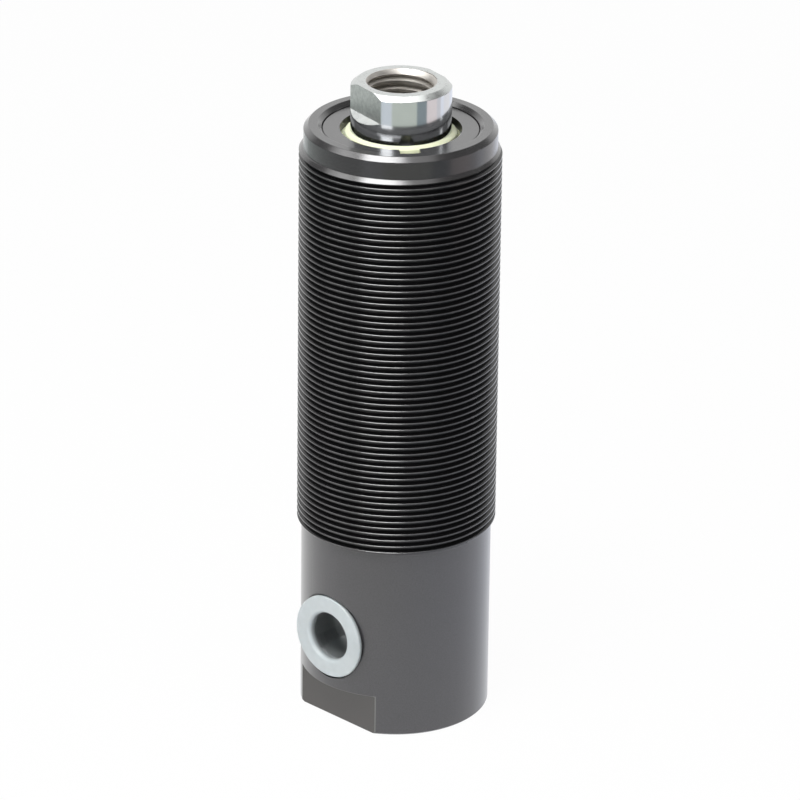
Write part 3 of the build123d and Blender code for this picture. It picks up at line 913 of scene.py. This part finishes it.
class CYLINDER_OT_spring(bpy.types.Operator):
    """Coils the return spring and grinds its ends flat"""
    bl_idname = "cylinder.spring"
    bl_label = "Return spring"

    def execute(self, context):
        spring = context.scene.cylinder_spring
        wire = spring.wire_diameter / 2
        coil = SPRING_RADIUS - wire
        closed_pitch = spring.wire_diameter + 0.1 * MM
        free = SPRING_TOP - SPRING_BOTTOM - 2 * spring.closed_coils * closed_pitch
        rise = free / spring.active_coils
        points_per_coil = 32
        turns = spring.active_coils + 2 * spring.closed_coils
        count = round(turns * points_per_coil) + 1
        deselect()
        bpy.ops.curve.primitive_nurbs_path_add()
        path = named("return_spring_round_wire")
        spline = path.data.splines[0]
        spline.points.add(count - len(spline.points))
        for n, point in enumerate(spline.points):
            turn = n / points_per_coil
            active = min(max(turn - spring.closed_coils, 0), spring.active_coils)
            height = SPRING_BOTTOM + (turn - active) * closed_pitch + active * rise
            angle = FULL_TURN * turn
            point.co = (coil * math.cos(angle), coil * math.sin(angle), height, 1)
        spline.order_u = 4
        spline.use_endpoint_u = True
        spline.resolution_u = 2
        path.data.dimensions = "3D"
        path.data.bevel_depth = wire
        path.data.bevel_resolution = 4
        path.data.use_fill_caps = True
        bpy.ops.object.convert(target="MESH")
        piece = context.object
        bpy.ops.object.mode_set(mode="EDIT")
        bpy.ops.mesh.select_all(action="SELECT")
        bpy.ops.mesh.remove_doubles(threshold=MM / 1000)
        for height, upper in ((SPRING_BOTTOM, False), (SPRING_TOP, True)):
            bpy.ops.mesh.select_all(action="SELECT")
            bpy.ops.mesh.bisect(plane_co=(0, 0, height), plane_no=(0, 0, 1), use_fill=True,
                                clear_outer=upper, clear_inner=not upper)
        close_skin()
        dress(piece, "oil_hardened_wire", "turned_bare_steel")
        paint(piece, "turned_bare_steel", lambda c, n: abs(n.z) > 0.99 and not (
            SPRING_BOTTOM + 2 * NEAR < c.z < SPRING_TOP - 2 * NEAR))
        stand_for(piece, "barrel", "return_spring")
        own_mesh(piece)
        return {"FINISHED"}


class CYLINDER_OT_o_rings(bpy.types.Operator):
    """Makes the three O-rings, each squeezed to its groove"""
    bl_idname = "cylinder.o_rings"
    bl_label = "O-rings"

    def execute(self, context):
        for node, body in (("gland_o_ring", "barrel"), ("piston_rod_o_ring", "rod"),
                           ("piston_seal_energizer", "rod")):
            low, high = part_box(node)
            inner = min(reach(v.co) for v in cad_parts[node].data.vertices)
            outer = high.x
            corner = 0.42 * min(outer - inner, high.z - low.z)
            piece = turned(node + "_squeezed", [
                (inner, low.z), (outer, low.z), (outer, high.z), (inner, high.z),
            ], 96, closed=True, rounding=corner, segments=6)
            dress(piece, "moulded_nitrile_rubber")
            stand_for(piece, body, node, 60.0)
        return {"FINISHED"}


class CYLINDER_OT_plug(bpy.types.Operator):
    """Moulds the shipping plug with its flange, cup and gate mark"""
    bl_idname = "cylinder.plug"
    bl_label = "Port plug"

    def execute(self, context):
        port, plug = context.scene.cylinder_port, context.scene.cylinder_plug
        flange = plug.flange_diameter / 2
        mouth = plug.mouth_diameter / 2
        top = plug.flange_thickness
        bore = plug.bore_diameter / 2
        bottom = -plug.depth
        piece = turned("port_plug_moulded", [
            (0, bottom), (5.3 * MM, bottom), (5.6 * MM, -1.0 * MM), (6.6 * MM, 0.02 * MM),
            (flange, 0.02 * MM), (flange, top), (mouth, top), (bore, top - mouth + bore),
            (4.8 * MM, 0.9 * MM + bottom), (0, 0.9 * MM + bottom),
        ], 96, rounding=plug.edge_radius, segments=5)
        gate = turned("gate", [(0, 0.5 * MM + bottom), (0.9 * MM, 0.5 * MM + bottom),
                               (0.7 * MM, 1.25 * MM + bottom), (0, 1.25 * MM + bottom)], 24)
        for part in (piece, gate):
            dress(part, "milky_polyethylene")
        combine(piece, gate, "UNION")
        activate(piece)
        piece.rotation_euler = (math.radians(90), 0, plug.tilt)
        piece.location = (0, -plug.flange_back, port.height)
        bpy.ops.object.transform_apply()
        stand_for(piece, "port_plug", "port_plug", 40.0)
        return {"FINISHED"}


class CYLINDER_OT_inner_finishes(bpy.types.Operator):
    """Gives the pieces whose shape comes from the frame their finishes"""
    bl_idname = "cylinder.inner_finishes"
    bl_label = "Inner finishes"

    def execute(self, context):
        finishes = {
            "turned_bare_steel": ("piston", "upper_spring_washer", "lower_spring_washer",
                                  "stop_sleeve"),
            "phenolic_cloth": ("rod_guide_ring_lower", "rod_guide_ring_upper",
                               "piston_guide_ring"),
            "bronze_filled_ptfe": ("piston_seal_ring", "piston_rod_backup_ring"),
            "moulded_white_polyamide": ("gland_lock_pellet",),
        }
        for name, nodes in finishes.items():
            for node in nodes:
                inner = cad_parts[node]
                if not inner.material_slots:
                    inner.data.materials.append(None)
                for slot in inner.material_slots:
                    slot.material = finish(name)
        for node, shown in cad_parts.items():
            if not shown.hide_render and shown.material_slots[0].material.name not in finishes:
                raise RuntimeError(f"{node} has no finish")
        return {"FINISHED"}


# The stage. Bearings run in degrees to the right of the camera, as the cylinder sees them.

# Softboxes: bearing, elevation, distance, width, height and radiance
LAMPS = {
    "top_softbox": (-33, 65, 0.95, 0.55, 0.25, 11.5),
    "ceiling_softbox": (-90, 82, 1.00, 1.30, 1.40, 1.2),
    "front_strip": (-32, 25, 1.00, 0.42, 0.70, 3.2),
    "left_softbox": (-92, 46, 1.00, 0.35, 0.35, 2.0),
    "right_strip": (104, 22, 1.00, 0.10, 0.50, 2.0),
    "right_fill": (60, 15, 1.00, 0.60, 0.60, 2.4),
}

# In reflections the table shows a painted pool of light: white round the part and dimmer towards the
# camera, with a painted cool side. The middle of the patch behind the part, how much narrower that
# is than long, and where it starts and ends
PATCH_BEHIND = 0.45
PATCH_NARROWING = 1.4
PATCH_EDGE = 0.52
PATCH_END = 0.81
PATCH_DIM = 0.48
PATCH_COOL = "#F3F6FF"

# The white backdrop behind, and the low screens that glow in tones of their own and paint reflected
# bands on the chrome: distance, height, faces in a full turn, and first bearing, last bearing and
# tone of each stretch
CURTAINS = {
    "backdrop": (1.2, 1.3, 144, ((132, 228, "#FFFFFF"),)),
    "screens": (0.33, 0.12, 180, (
        (-160, -140, "#DDE2E2"),
        (-140, -44, "#B5BDBB"),
        (-44, -20, "#DCE2E7"),
        (-20, 35, "#CAD0C6"),
        (35, 60, "#8E999C"),
        (60, 87, "#EEE3E2"),
        (87, 99, "#DDDBDF"),
        (99, 112, "#F4F6FF"),
        (112, 140, "#F6F4F6"),
    )),
}


def seen_as(material, straight, mirrored, lighting):
    """A level that differs between what is seen straight or through clear plastic, what shows
    in reflections, and what lights the part."""
    path = add(material, "LightPath")
    open_view = add(material, "Math", {0: path.outputs["Is Camera Ray"],
                                       1: path.outputs["Is Transmission Ray"]}, operation="MAXIMUM")
    shown = add(material, "Math", {0: open_view.outputs[0], 1: straight - lighting, 2: lighting},
                operation="MULTIPLY_ADD")
    return add(material, "Math", {0: path.outputs["Is Glossy Ray"], 1: mirrored - lighting,
                                  2: shown.outputs[0]}, operation="MULTIPLY_ADD").outputs[0]


class CYLINDER_OT_stage(bpy.types.Operator):
    """Sets up the floor, the soft lamps and the camera"""
    bl_idname = "cylinder.stage"
    bl_label = "Stage"

    def execute(self, context):
        stage = context.scene.cylinder_stage
        white = context.scene.cylinder_colours.stage_white
        self.surroundings(context, stage, white)
        toward = Vector((math.sin(stage.azimuth), -math.cos(stage.azimuth), 0))
        right = Vector((math.cos(stage.azimuth), math.sin(stage.azimuth), 0))
        self.floor(stage, white, toward)
        self.camera(context, stage, toward, right)
        self.lamps(toward, right)
        for name, (distance, height, faces, stretches) in CURTAINS.items():
            self.curtain(stage, name, distance, height, faces, stretches)
        context.scene.view_settings.view_transform = "Standard"
        return {"FINISHED"}

    def surroundings(self, context, stage, white):
        """White straight ahead, a dim room in the gloss, and a soft even light on the part."""
        world = bpy.data.worlds.new("studio")
        world.use_nodes = True
        world.node_tree.nodes.clear()
        level = seen_as(world, 1.0, stage.room, stage.ambient)
        glow = add(world, "Background", {"Color": white, "Strength": level})
        add(world, "OutputWorld", {"Surface": glow.outputs[0]})
        context.scene.world = world

    def floor(self, stage, white, toward):
        """A matt white table that glows evenly in the open view. In reflections it shows only a
        painted pool of light with a painted cool side."""
        deselect()
        bpy.ops.mesh.primitive_plane_add(size=6.0, location=(0, 0, 0))
        floor = named("floor")
        material, place = begin("white_table")
        mottle = add(material, "MapRange", {
            "Value": grain(material, place, 200.0), "From Min": NOISE_SPAN[0],
            "From Max": NOISE_SPAN[1], "To Min": 0.90, "To Max": 0.93})
        paper = add(material, "Mix", {0: mottle.outputs[0], 6: (0, 0, 0, 1), 7: white},
                    data_type="RGBA")
        matt = add(material, "BsdfDiffuse", {"Color": paper.outputs[2]})
        # Painted pool of light and painted cool tint, seen only in reflections
        patch = add(material, "Mapping", {
            "Vector": place, "Location": -toward * PATCH_BEHIND, "Rotation": (0, 0, stage.azimuth),
            "Scale": (1 / PATCH_NARROWING, 1, 1)}, vector_type="TEXTURE")
        distance = add(material, "VectorMath", {0: patch.outputs[0]}, operation="LENGTH")
        level = add(material, "MapRange", {
            "Value": distance.outputs["Value"], "From Min": PATCH_EDGE, "From Max": PATCH_END,
            "To Min": 1.0, "To Max": PATCH_DIM})
        glow = add(material, "Emission", {"Color": white, "Strength": 1.0})
        across = add(material, "SeparateXYZ", {"Vector": patch.outputs[0]})
        cool = add(material, "MapRange", {"Value": across.outputs["X"], "From Min": -0.05,
                                          "From Max": 0.10})
        tint = add(material, "Mix", {0: cool.outputs[0], 6: white, 7: linear(PATCH_COOL)},
                   data_type="RGBA")
        mirrored = add(material, "Emission", {"Color": tint.outputs[2],
                                              "Strength": level.outputs[0]})
        share = seen_as(material, stage.floor_glow, 0.0, 0.0)
        straight = add(material, "MixShader", {0: share, 1: matt.outputs[0], 2: glow.outputs[0]})
        path = add(material, "LightPath")
        top = add(material, "MixShader", {0: path.outputs["Is Glossy Ray"], 1: straight.outputs[0],
                                          2: mirrored.outputs[0]})
        below = add(material, "BsdfTransparent")
        side = add(material, "NewGeometry").outputs["Backfacing"]
        both = add(material, "MixShader", {0: side, 1: top.outputs[0], 2: below.outputs[0]})
        floor.data.materials.append(end(material, both.outputs[0]))

    def curtain(self, stage, name, distance, height, faces, stretches):
        """Stretches of a round wall that glow and only show in reflections, with a material for
        each.
        """
        deselect()
        bpy.ops.mesh.primitive_cylinder_add(vertices=faces, radius=distance, depth=height,
                                            end_fill_type="NOTHING", location=(0, 0, height / 2))
        piece = named(name)
        bpy.ops.object.transform_apply()

        def stretch_of(face):
            bearing = math.degrees(math.atan2(face.center.x, -face.center.y) - stage.azimuth)
            return next((n for n, (start, stop, tone) in enumerate(stretches)
                         if (bearing - start) % 360 < stop - start), None)

        select(piece, "FACE", lambda face: stretch_of(face) is None)
        bpy.ops.mesh.delete(type="FACE")
        bpy.ops.object.mode_set(mode="OBJECT")
        for n, (start, stop, tone) in enumerate(stretches):
            material = begin(f"{name}_{n}")[0]
            glow = add(material, "Emission", {"Color": linear(tone)})
            piece.data.materials.append(end(material, glow.outputs[0]))
        for face in piece.data.polygons:
            face.material_index = stretch_of(face)
        piece.visible_camera = False
        piece.visible_diffuse = False
        piece.visible_transmission = False
        piece.visible_shadow = False

    def camera(self, context, stage, toward, right):
        back = toward * math.cos(stage.elevation) + Vector((0, 0, math.sin(stage.elevation)))
        up = back.cross(right)
        turn = Matrix((right, up, back)).transposed() @ Matrix.Rotation(stage.roll, 3, "Z")
        target = right * stage.target_side + Vector((0, 0, stage.target_height))
        bpy.ops.object.camera_add(location=target + back * stage.distance, rotation=turn.to_euler())
        camera = context.object
        camera.name = "photo_camera"
        camera.data.lens = stage.lens
        camera.data.sensor_width = 36.0
        camera.data.clip_start = 0.05
        context.scene.camera = camera

    def lamps(self, toward, right):
        """Softboxes, placed by their bearing from the camera and their height in degrees."""
        centre = Vector((0, 0, 0.1))
        for name, (bearing, elevation, distance, width, height, radiance) in LAMPS.items():
            bearing, elevation = math.radians(bearing), math.radians(elevation)
            level = toward * math.cos(bearing) + right * math.sin(bearing)
            direction = level * math.cos(elevation) + Vector((0, 0, math.sin(elevation)))
            bpy.ops.object.light_add(type="AREA", location=centre + direction * distance,
                                     rotation=direction.to_track_quat("Z", "Y").to_euler())
            lamp = bpy.context.object
            lamp.name = name
            lamp.data.shape = "RECTANGLE"
            lamp.data.size = width
            lamp.data.size_y = height
            lamp.data.energy = 4 * radiance * width * height
            lamp.visible_camera = False
            lamp.visible_diffuse = name != "ceiling_softbox"
            lamp.visible_glossy = name != "right_fill"


class CYLINDER_PT_sidebar(bpy.types.Panel):
    """Lists the operators and the sizes"""
    bl_idname = "CYLINDER_PT_sidebar"
    bl_label = "Threaded body cylinder"
    bl_space_type = "VIEW_3D"
    bl_region_type = "UI"
    bl_category = "Cylinder"

    def draw(self, context):
        for operator in OPERATORS:
            self.layout.operator(operator.bl_idname)
        for key in GROUPS:
            box = self.layout.box()
            group = getattr(context.scene, key)
            for name in group.__annotations__:
                box.prop(group, name)


GROUPS = {
    "cylinder_body": BodySizes,
    "cylinder_port": PortSizes,
    "cylinder_gland": GlandSizes,
    "cylinder_wiper": WiperSizes,
    "cylinder_rod": RodSizes,
    "cylinder_plug": PlugSizes,
    "cylinder_spring": SpringSizes,
    "cylinder_colours": Colours,
    "cylinder_stage": StageSettings,
}
OPERATORS = (
    CYLINDER_OT_body,
    CYLINDER_OT_gland,
    CYLINDER_OT_wiper,
    CYLINDER_OT_rod,
    CYLINDER_OT_lock_nut,
    CYLINDER_OT_spring,
    CYLINDER_OT_o_rings,
    CYLINDER_OT_plug,
    CYLINDER_OT_inner_finishes,
    CYLINDER_OT_stage,
)


def register():
    for kind in (*GROUPS.values(), *OPERATORS, CYLINDER_PT_sidebar):
        bpy.utils.register_class(kind)
    for key, group in GROUPS.items():
        setattr(bpy.types.Scene, key, PointerProperty(type=group))


def unregister():
    for key in GROUPS:
        delattr(bpy.types.Scene, key)
    for kind in reversed((*GROUPS.values(), *OPERATORS, CYLINDER_PT_sidebar)):
        bpy.utils.unregister_class(kind)


def main():
    register()
    for operator in OPERATORS:
        group, name = operator.bl_idname.split(".")
        getattr(getattr(bpy.ops, group), name)()


if __name__ == "__main__":
    main()
